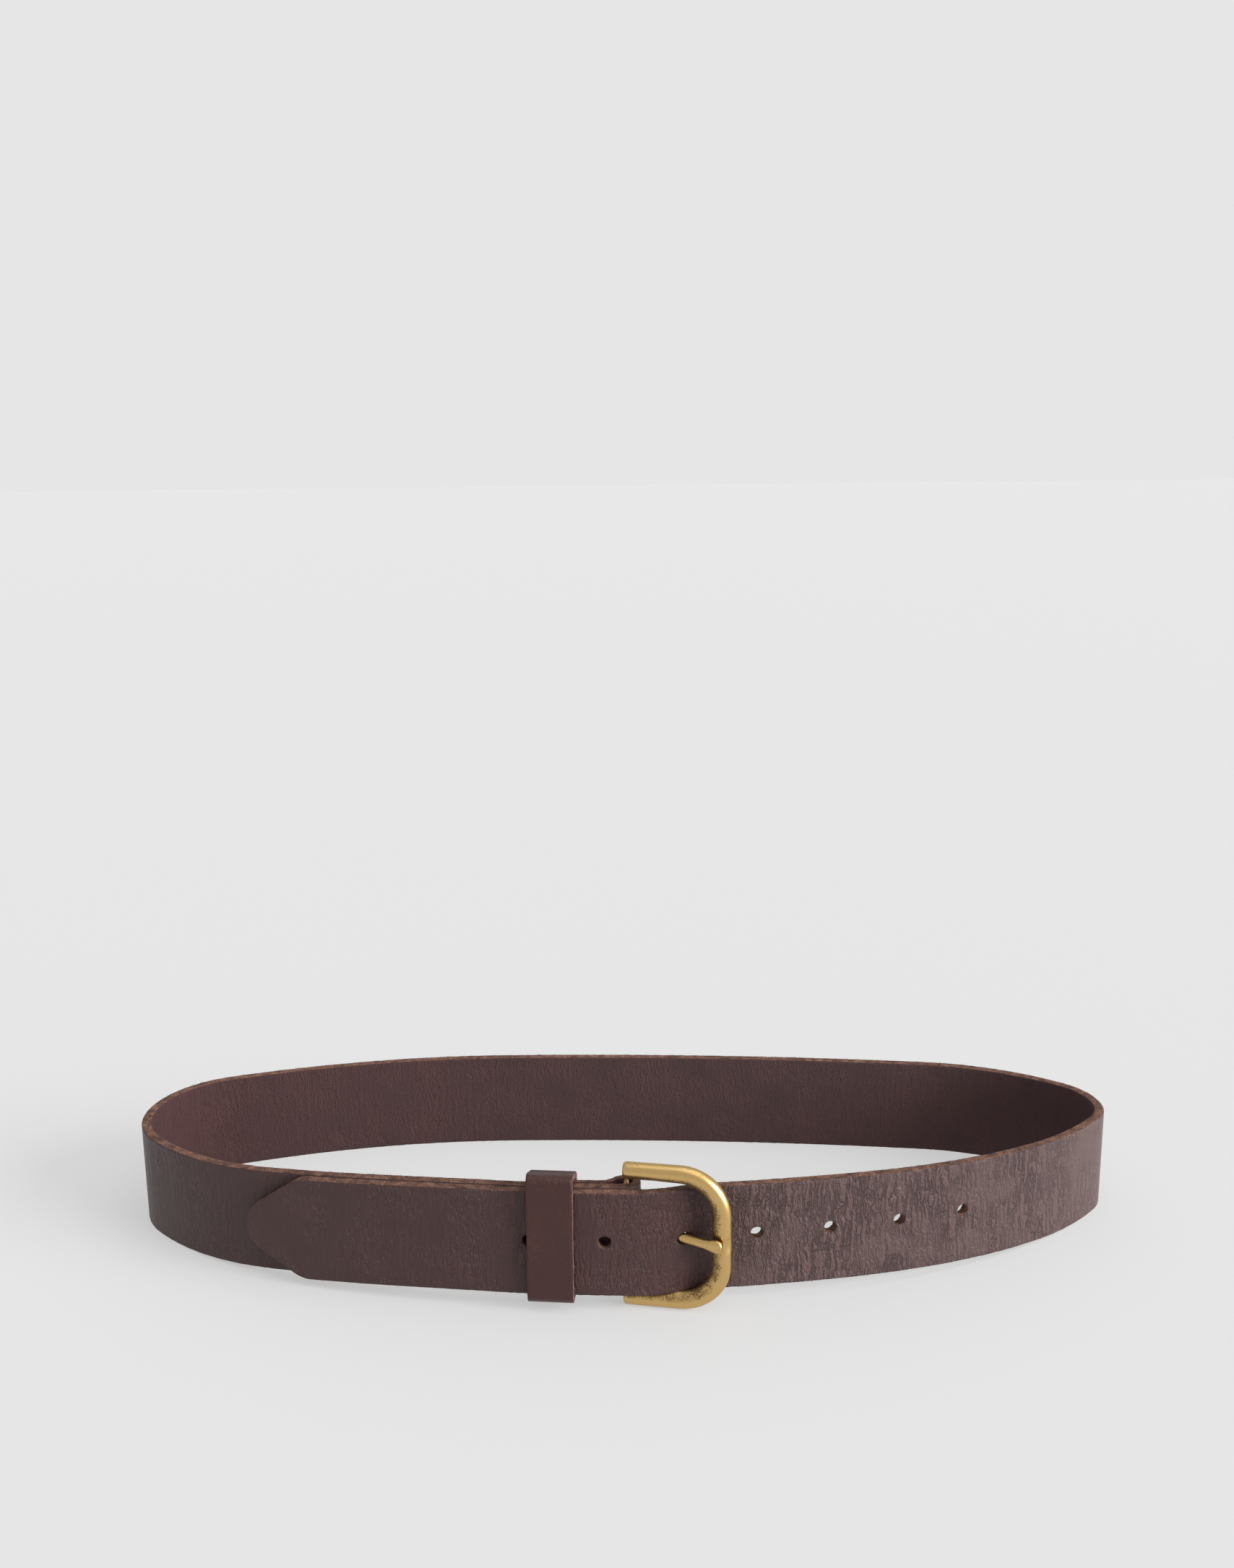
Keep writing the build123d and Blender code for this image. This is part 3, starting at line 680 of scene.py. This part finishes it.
# %% Prong
bm = bmesh.new()
across_mark = bm.verts.layers.float.new("across")
eye_radius = 3.25
rod = bmesh.ops.create_circle(bm, segments=20, radius=1.0, cap_ends=False)["verts"]
for v in rod:
    v.co = Vector((0.0, eye_radius + v.co.x * 1.12, v.co.y * 1.7))
rod_ring = list({e for v in rod for e in v.link_edges})
eye = turned(rod_ring, (0, 0), 285, 22)
bmesh.ops.holes_fill(bm, edges=eye, sides=0)


def swell(edges, thick, high):
    """Sets the ring's thickness and height about its middle."""
    verts = list({v for e in edges for v in e.verts})
    middle = sum((v.co for v in verts), Vector()) / len(verts)
    flat = max((v.co - middle).xy.length for v in verts)
    tall = max(abs(v.co.z - middle.z) for v in verts)
    for v in verts:
        d = v.co - middle
        v.co = middle + Vector((d.x * thick / flat, d.y * thick / flat, d.z * high / tall))
    return edges


ends = swell(onward(rod_ring, (4.0, 0.05, 0), 4), 1.45, 1.8)
ends = onward(ends, (4.6, 0, 0), 4)
ends = turned(ends, (8.6, 3.3 + 18.0), 31, 9)
rise = Vector((math.cos(math.radians(31)), math.sin(math.radians(31)), 0))
ends = swell(onward(ends, rise * 6.8, 4), 1.5, 1.8)
for thick, high, step in ((1.5, 1.8, 2.0), (1.48, 2.05, 2.0), (1.45, 2.45, 1.6), (1.42, 2.6, 1.7)):
    ends = swell(onward(ends, rise * step, 2), thick, high)
dome(ends, rise, 2.3, full)
for v in bm.verts:
    v.co = Vector((v.co.x + bar.x, bar.y - v.co.y, v.co.z + prong_height))
    v[across_mark] = 0.55
bmesh.ops.scale(bm, vec=(MM, MM, MM), verts=bm.verts)
bmesh.ops.recalc_face_normals(bm, faces=bm.faces)
mesh = bpy.data.meshes.new("prong_brass")
bm.to_mesh(mesh)
bm.free()
mesh.shade_smooth()
prong = bpy.data.objects.new("prong_brass", mesh)
bpy.context.scene.collection.objects.link(prong)
smoother = prong.modifiers.new("smooth", "SUBSURF")
smoother.levels = smoother.render_levels = 1
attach(prong, "prong")
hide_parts("prong")
tip = max(v.co.x for v in mesh.vertices) / MM
print("prong", len(mesh.polygons), "faces, tip at x", round(tip, 1), "mm")

# %% [markdown]
# ## Node helpers
# Materials are written with one small helper that adds a node, sets its values and links its sockets.


# %% Helpers for materials
def node(tree, kind, inputs=None, **settings):
    made = tree.nodes.new(kind)
    for key, value in settings.items():
        setattr(made, key, value)
    for key, value in (inputs or {}).items():
        if isinstance(value, bpy.types.NodeSocket):
            tree.links.new(value, made.inputs[key])
        else:
            made.inputs[key].default_value = value
    return made


def maths(tree, operation, *values, clamp=False):
    inputs = dict(enumerate(values))
    return node(tree, "ShaderNodeMath", inputs, operation=operation, use_clamp=clamp).outputs[0]


def ramp(tree, value, low, high):
    """0 below low, 1 above high, smooth between."""
    inputs = {"Value": value, "From Min": low, "From Max": high}
    fitted = node(tree, "ShaderNodeMapRange", inputs, interpolation_type="SMOOTHSTEP")
    return fitted.outputs["Result"]


def scaled(tree, value, factor):
    return maths(tree, "MULTIPLY", value, factor)


def stretch_of(tree, value, up_from, up_to, down_from, down_to):
    """1 along a stretch of the strap, falling smoothly to 0 at both its ends."""
    falling = maths(tree, "SUBTRACT", 1.0, ramp(tree, value, down_from, down_to))
    return maths(tree, "MULTIPLY", ramp(tree, value, up_from, up_to), falling)


def clouds_of(tree, place, scale, detail, roughness=0.5):
    inputs = {"Vector": place, "Scale": scale, "Detail": detail, "Roughness": roughness}
    return node(tree, "ShaderNodeTexNoise", inputs).outputs["Fac"]


def mix_colour(tree, share, a, b):
    made = tree.nodes.new("ShaderNodeMix")
    made.data_type = "RGBA"
    for socket, value in ((made.inputs[0], share), (made.inputs[6], a), (made.inputs[7], b)):
        if isinstance(value, bpy.types.NodeSocket):
            tree.links.new(value, socket)
        else:
            socket.default_value = value
    return made.outputs[2]


def new_group(name, inputs, outputs):
    group = bpy.data.node_groups.new(name, "ShaderNodeTree")
    for label, kind, value in inputs:
        socket = group.interface.new_socket(label, in_out="INPUT", socket_type=kind)
        if value is not None:
            socket.default_value = value
    for label, kind in outputs:
        group.interface.new_socket(label, in_out="OUTPUT", socket_type=kind)
    return group, group.nodes.new("NodeGroupInput"), group.nodes.new("NodeGroupOutput")


# %% [markdown]
# ## Leather relief
# Bridle leather has three kinds of relief: fine pores, pebbles of a few tenths of a millimetre, and long
# creases that run across the strap where it has been bent. The group gives the height of all three, and
# the creases again as a mask, for the painted shade that darkens them. A second mask places a painted
# sheen, a paler colour, on the bent right part of the front. The group reads the flat place on the leather
# in millimetres, so the pattern follows every bend.

# %% Group: leather relief
relief, gi, go = new_group(
    "leather_relief",
    [
        ("Flat", "NodeSocketVector", None),
        ("Creases", "NodeSocketFloat", 1.0),
        ("Pebbles", "NodeSocketFloat", 1.0),
    ],
    [(label, "NodeSocketFloat") for label in ("Height", "Crease", "Mottle", "Painted sheen")],
)
flat_place = gi.outputs["Flat"]
drift = node(relief, "ShaderNodeTexNoise", {"Vector": flat_place, "Scale": 0.16, "Detail": 2.0})
about_zero = {0: drift.outputs["Color"], 1: (0.5, 0.5, 0.5)}
wander = node(relief, "ShaderNodeVectorMath", about_zero, operation="SUBTRACT")
wander = node(relief, "ShaderNodeVectorMath", {0: wander.outputs[0], "Scale": 2.6}, operation="SCALE")
bent = node(relief, "ShaderNodeVectorMath", {0: flat_place, 1: wander.outputs[0]}, operation="ADD")
long_way = node(relief, "ShaderNodeMapping", {"Vector": bent.outputs[0], "Scale": (0.40, 0.042, 1.0)})
folds = clouds_of(relief, long_way.outputs[0], 1.0, 4.0, 0.62)
ridged = maths(relief, "ABSOLUTE", maths(relief, "SUBTRACT", folds, 0.5))
crease = maths(relief, "SUBTRACT", 1.0, ramp(relief, ridged, 0.0, 0.06))
patches = node(relief, "ShaderNodeTexNoise", {"Vector": flat_place, "Scale": 0.055, "Detail": 2.0})
where = ramp(relief, patches.outputs["Fac"], 0.34, 0.62)
run_here = node(relief, "ShaderNodeSeparateXYZ", {"Vector": flat_place}).outputs["X"]
worn = stretch_of(relief, run_here, 165.0, 200.0, 285.0, 345.0)
amount = scaled(relief, maths(relief, "ADD", 0.5, scaled(relief, worn, 0.8)), gi.outputs["Creases"])
crease = maths(relief, "MULTIPLY", maths(relief, "MULTIPLY", crease, where), amount)
pebble = node(relief, "ShaderNodeTexVoronoi", {"Vector": flat_place, "Scale": 2.1}, feature="SMOOTH_F1")
pore = clouds_of(relief, flat_place, 4.2, 3.0, 0.6)
grain = maths(relief, "ADD", scaled(relief, pebble.outputs["Distance"], -0.35), scaled(relief, pore, 0.55))
grain = maths(relief, "MULTIPLY", grain, gi.outputs["Pebbles"])
swells = maths(relief, "MULTIPLY", maths(relief, "MULTIPLY", ridged, 7.0), amount)
height = maths(relief, "ADD", maths(relief, "SUBTRACT", grain, scaled(relief, crease, 1.6)), swells)
relief.links.new(height, go.inputs["Height"])
# painted sheen: a mask along the bent right part of the front, where the leather's colour is made paler
painted_sheen = stretch_of(relief, run_here, 168.0, 205.0, 430.0, 560.0)
relief.links.new(painted_sheen, go.inputs["Painted sheen"])
# the crease mask also sets painted shade: the creases are darkened in colour
relief.links.new(crease, go.inputs["Crease"])
relief.links.new(patches.outputs["Fac"], go.inputs["Mottle"])
print("group", relief.name)

# %% [markdown]
# ## Raw leather
# Where leather is cut, its fibres show: a suede-like face, lighter and redder than the dyed surface, with
# pale fibre ends and dark gaps. The group gives its colour and its height.

# %% Group: raw leather
raw, gi, go = new_group(
    "raw_leather",
    [
        ("Flat", "NodeSocketVector", None),
        ("Dark", "NodeSocketColor", (0.03, 0.012, 0.01, 1)),
        ("Light", "NodeSocketColor", (0.3, 0.13, 0.08, 1)),
    ],
    [("Colour", "NodeSocketColor"), ("Height", "NodeSocketFloat")],
)
fibre = clouds_of(raw, gi.outputs["Flat"], 2.6, 5.0, 0.75)
tuft = clouds_of(raw, gi.outputs["Flat"], 0.35, 2.0)
share = maths(raw, "MULTIPLY", ramp(raw, fibre, 0.40, 0.66), ramp(raw, tuft, 0.15, 0.75), clamp=True)
raw.links.new(mix_colour(raw, share, gi.outputs["Dark"], gi.outputs["Light"]), go.inputs["Colour"])
raw.links.new(fibre, go.inputs["Height"])
print("group", raw.name)


# %% [markdown]
# ## Leather
# One material serves a whole piece of leather. The attribute `layer` says which side a spot is on, and
# mixes the waxed grain face, the plain flesh face and the raw cut sides. Only the values that change over
# the surface are linked to the shader.


# %% Leather materials
# painted sheen: the paler colour laid on the right bend of the front
painted_sheen_colour = (0.125, 0.080, 0.076, 1)


def leather(
    name,
    grain_colour,
    crease_shade_colour,
    flesh_colour,
    raw_dark,
    raw_light,
    creases,
    painted_sheen_amount,
    grain_roughness,
):
    material = bpy.data.materials.new(name)
    material.use_nodes = True
    tree = material.node_tree
    shader = tree.nodes["Principled BSDF"]
    layer = node(tree, "ShaderNodeAttribute", attribute_name="layer").outputs["Fac"]
    uv = node(tree, "ShaderNodeUVMap", uv_map="flat").outputs["UV"]
    in_mm = {0: uv, 1: (1000, 1000, 1000)}
    flat = node(tree, "ShaderNodeVectorMath", in_mm, operation="MULTIPLY").outputs[0]
    deep = node(tree, "ShaderNodeCombineXYZ", {"Z": maths(tree, "MULTIPLY", layer, 1.8)}).outputs[0]
    solid = node(tree, "ShaderNodeVectorMath", {0: flat, 1: deep}, operation="ADD").outputs[0]
    marks_ = node(tree, "ShaderNodeGroup", node_tree=relief)
    tree.links.new(solid, marks_.inputs["Flat"])
    marks_.inputs["Creases"].default_value = creases
    cut = node(tree, "ShaderNodeGroup", node_tree=raw)
    tree.links.new(solid, cut.inputs["Flat"])
    cut.inputs["Dark"].default_value = raw_dark
    cut.inputs["Light"].default_value = raw_light
    outside = ramp(tree, layer, 0.8, 0.93)
    inside = ramp(tree, layer, -0.84, -0.95)
    tree.links.new(maths(tree, "ADD", 1.0, maths(tree, "MULTIPLY", inside, 2.2)), marks_.inputs["Pebbles"])
    uneven = ramp(tree, marks_.outputs["Mottle"], 0.25, 0.75)
    grain_base = mix_colour(tree, uneven, grain_colour, [c * 1.35 for c in grain_colour[:3]] + [1])
    # painted sheen: the right bend is mixed towards a paler colour
    painted_sheen_share = maths(tree, "MULTIPLY", marks_.outputs["Painted sheen"], painted_sheen_amount)
    grain_base = mix_colour(tree, painted_sheen_share, grain_base, painted_sheen_colour)
    # painted shade: the creases are darkened in colour
    crease_shade_share = scaled(tree, marks_.outputs["Crease"], 0.25)
    grain_base = mix_colour(tree, crease_shade_share, grain_base, crease_shade_colour)
    flesh_base = mix_colour(tree, uneven, flesh_colour, [c * 1.4 for c in flesh_colour[:3]] + [1])
    tufts = maths(tree, "MULTIPLY", ramp(tree, cut.outputs["Height"], 0.5, 0.72), 0.35)
    flesh_base = mix_colour(tree, tufts, flesh_base, [c * 3.0 for c in flesh_colour[:3]] + [1])
    base = mix_colour(tree, outside, cut.outputs["Colour"], grain_base)
    base = mix_colour(tree, inside, base, flesh_base)
    tree.links.new(base, shader.inputs["Base Color"])
    faces = maths(tree, "MAXIMUM", outside, inside)
    smooth_share = maths(tree, "MULTIPLY", outside, 1.0 - grain_roughness)
    flesh_roughness = maths(tree, "SUBTRACT", 0.9, scaled(tree, inside, 0.3))
    roughness = maths(tree, "SUBTRACT", flesh_roughness, scaled(tree, smooth_share, 0.9), clamp=True)
    tree.links.new(roughness, shader.inputs["Roughness"])
    grain_height = maths(tree, "MULTIPLY", marks_.outputs["Height"], faces)
    raw_share = maths(tree, "SUBTRACT", 2.2, scaled(tree, faces, 2.2))
    raw_height = maths(tree, "MULTIPLY", cut.outputs["Height"], raw_share)
    height = maths(tree, "ADD", grain_height, raw_height)
    bump = node(tree, "ShaderNodeBump", {"Height": height, "Strength": 1.0, "Distance": 0.00024})
    tree.links.new(bump.outputs["Normal"], shader.inputs["Normal"])
    shader.inputs["Specular IOR Level"].default_value = 0.40
    return material


strap_skin = leather(
    "strap_leather",
    grain_colour=(0.042, 0.0165, 0.0155, 1),
    # painted shade in the strap's creases
    crease_shade_colour=(0.018, 0.008, 0.008, 1),
    flesh_colour=(0.044, 0.0150, 0.0150, 1),
    raw_dark=(0.045, 0.017, 0.012, 1),
    raw_light=(0.46, 0.23, 0.15, 1),
    creases=1.0,
    # painted sheen on the strap's right bend
    painted_sheen_amount=0.5,
    grain_roughness=0.44,
)
keeper_skin = leather(
    "keeper_leather",
    grain_colour=(0.036, 0.0100, 0.0080, 1),
    # painted shade in the keeper's creases
    crease_shade_colour=(0.009, 0.004, 0.004, 1),
    flesh_colour=(0.045, 0.021, 0.021, 1),
    raw_dark=(0.10, 0.042, 0.038, 1),
    raw_light=(0.48, 0.26, 0.22, 1),
    creases=0.4,
    painted_sheen_amount=0.0,
    grain_roughness=0.30,
)
for piece, skin in ((strap, strap_skin), (free_end, strap_skin), (keeper, keeper_skin)):
    piece.data.materials.append(skin)
print("leather on", strap.name, free_end.name, keeper.name)

# %% [markdown]
# ## Antique brass
# The casting is blackened all over and then rubbed bright, so the dark stain stays in pits and hollows
# and the ridges shine. The attribute `across` says how much a spot has been rubbed. Fine specks of stain
# break up the gold everywhere.


# %% Brass materials
def brass(name, gold, stain, rub_attribute, darkness):
    material = bpy.data.materials.new(name)
    material.use_nodes = True
    tree = material.node_tree
    shader = tree.nodes["Principled BSDF"]
    place = node(tree, "ShaderNodeTexCoord").outputs["Object"]
    specks = clouds_of(tree, place, 2400.0, 4.0, 0.7)
    clouds = clouds_of(tree, place, 260.0, 3.0, 0.6)
    both = maths(tree, "ADD", maths(tree, "MULTIPLY", specks, 0.68), maths(tree, "MULTIPLY", clouds, 0.32))
    if rub_attribute:
        rubbed = node(tree, "ShaderNodeAttribute", attribute_name=rub_attribute).outputs["Fac"]
        rubbing = maths(tree, "SUBTRACT", scaled(tree, rubbed, 0.20), 0.07)
        both = maths(tree, "SUBTRACT", both, rubbing)
    stained = maths(tree, "MULTIPLY", ramp(tree, both, 0.50 - darkness, 0.64 - darkness), 0.9)
    tree.links.new(mix_colour(tree, stained, gold, stain), shader.inputs["Base Color"])
    roughness = maths(tree, "ADD", 0.3, scaled(tree, stained, 0.3))
    tree.links.new(roughness, shader.inputs["Roughness"])
    bump = node(tree, "ShaderNodeBump", {"Height": both, "Strength": 0.35, "Distance": 0.0001})
    tree.links.new(bump.outputs["Normal"], shader.inputs["Normal"])
    shader.inputs["Metallic"].default_value = 1.0
    return material


old_brass = brass("antique_brass", (0.62, 0.415, 0.165, 1), (0.12, 0.062, 0.026, 1), "across", 0.0)
post_brass = brass("post_brass", (0.5, 0.35, 0.15, 1), (0.14, 0.08, 0.04, 1), None, 0.02)
wire_steel = brass("staple_steel", (0.55, 0.55, 0.55, 1), (0.2, 0.19, 0.18, 1), None, -0.05)
for piece in (buckle, prong):
    piece.data.materials.append(old_brass)
fastenings = {"screw_posts": post_brass, "post_screws": post_brass, "keeper_staples": wire_steel}
for name, metal in fastenings.items():
    carried = frame["nodes"][name]
    carried.data.materials.clear()
    carried.data.materials.append(metal)
print("brass on", buckle.name, prong.name, "and the carried screws and staples")

# %% [markdown]
# ## Floor, light and camera
# The belt stands on a plain pale floor in an even white room. The floor glows a little, a painted light
# from emission, so its shadows stay pale. A low soft light from the right grazes the front: it shows the
# creases, gives part of the sheen on the right bend, whose rest is painted sheen in the leather's colour,
# and throws the soft shadow at the left.

# %% Floor
bm = bmesh.new()
bmesh.ops.create_grid(bm, x_segments=2, y_segments=2, size=30.0)
mesh = bpy.data.meshes.new("floor")
bm.to_mesh(mesh)
bm.free()
floor = bpy.data.objects.new("floor", mesh)
bpy.context.scene.collection.objects.link(floor)
paper = bpy.data.materials.new("floor_paper")
paper.use_nodes = True
paper.node_tree.nodes["Principled BSDF"].inputs["Base Color"].default_value = (0.265, 0.265, 0.265, 1)
# painted light: the floor glows a little (emission), so its shadows stay pale
paper.node_tree.nodes["Principled BSDF"].inputs["Emission Color"].default_value = (1, 1, 1, 1)
paper.node_tree.nodes["Principled BSDF"].inputs["Emission Strength"].default_value = 0.44
paper.node_tree.nodes["Principled BSDF"].inputs["Roughness"].default_value = 0.9
paper.node_tree.nodes["Principled BSDF"].inputs["Specular IOR Level"].default_value = 0.1
floor.data.materials.append(paper)

# %% Light
world = bpy.data.worlds.new("white_room")
world.use_nodes = True
world.node_tree.nodes["Background"].inputs["Color"].default_value = (1, 1, 1, 1)
seen = node(world.node_tree, "ShaderNodeLightPath").outputs["Is Camera Ray"]
seen_more = maths(world.node_tree, "ADD", 0.63, maths(world.node_tree, "MULTIPLY", seen, 0.16))
world.node_tree.links.new(seen_more, world.node_tree.nodes["Background"].inputs["Strength"])
bpy.context.scene.world = world
bpy.context.scene.view_settings.view_transform = "Standard"


for name, energy, angle, way in (
    ("window", 0.8, 60, (-0.30, 0.15, -1.0)),
    ("far_window", 4.6, 34, (-0.86, 0.36, -0.30)),
):
    sun = bpy.data.lights.new(name, "SUN")
    sun.energy, sun.angle = energy, math.radians(angle)
    holder = bpy.data.objects.new(name, sun)
    holder.rotation_euler = Vector(way).to_track_quat("-Z", "Y").to_euler()
    bpy.context.scene.collection.objects.link(holder)
print("world and window light set")

# %% Camera
camera_data = bpy.data.cameras.new("camera")
camera_data.lens, camera_data.sensor_width = 33.15, 36.0
camera_data.clip_start, camera_data.clip_end = 0.01, 100.0
camera = bpy.data.objects.new("camera", camera_data)
camera.location = Vector((-1.27, -514.73 + (front_y + back_y) / 2, 281.79)) * MM
pitch_down, roll = 12.218, -0.576
look = Matrix.Rotation(math.radians(90 - pitch_down), 3, "X")
camera.rotation_euler = (look @ Matrix.Rotation(math.radians(roll), 3, "Z")).to_euler()
bpy.context.scene.collection.objects.link(camera)
bpy.context.scene.camera = camera
print("camera at", [round(c, 4) for c in camera.location])
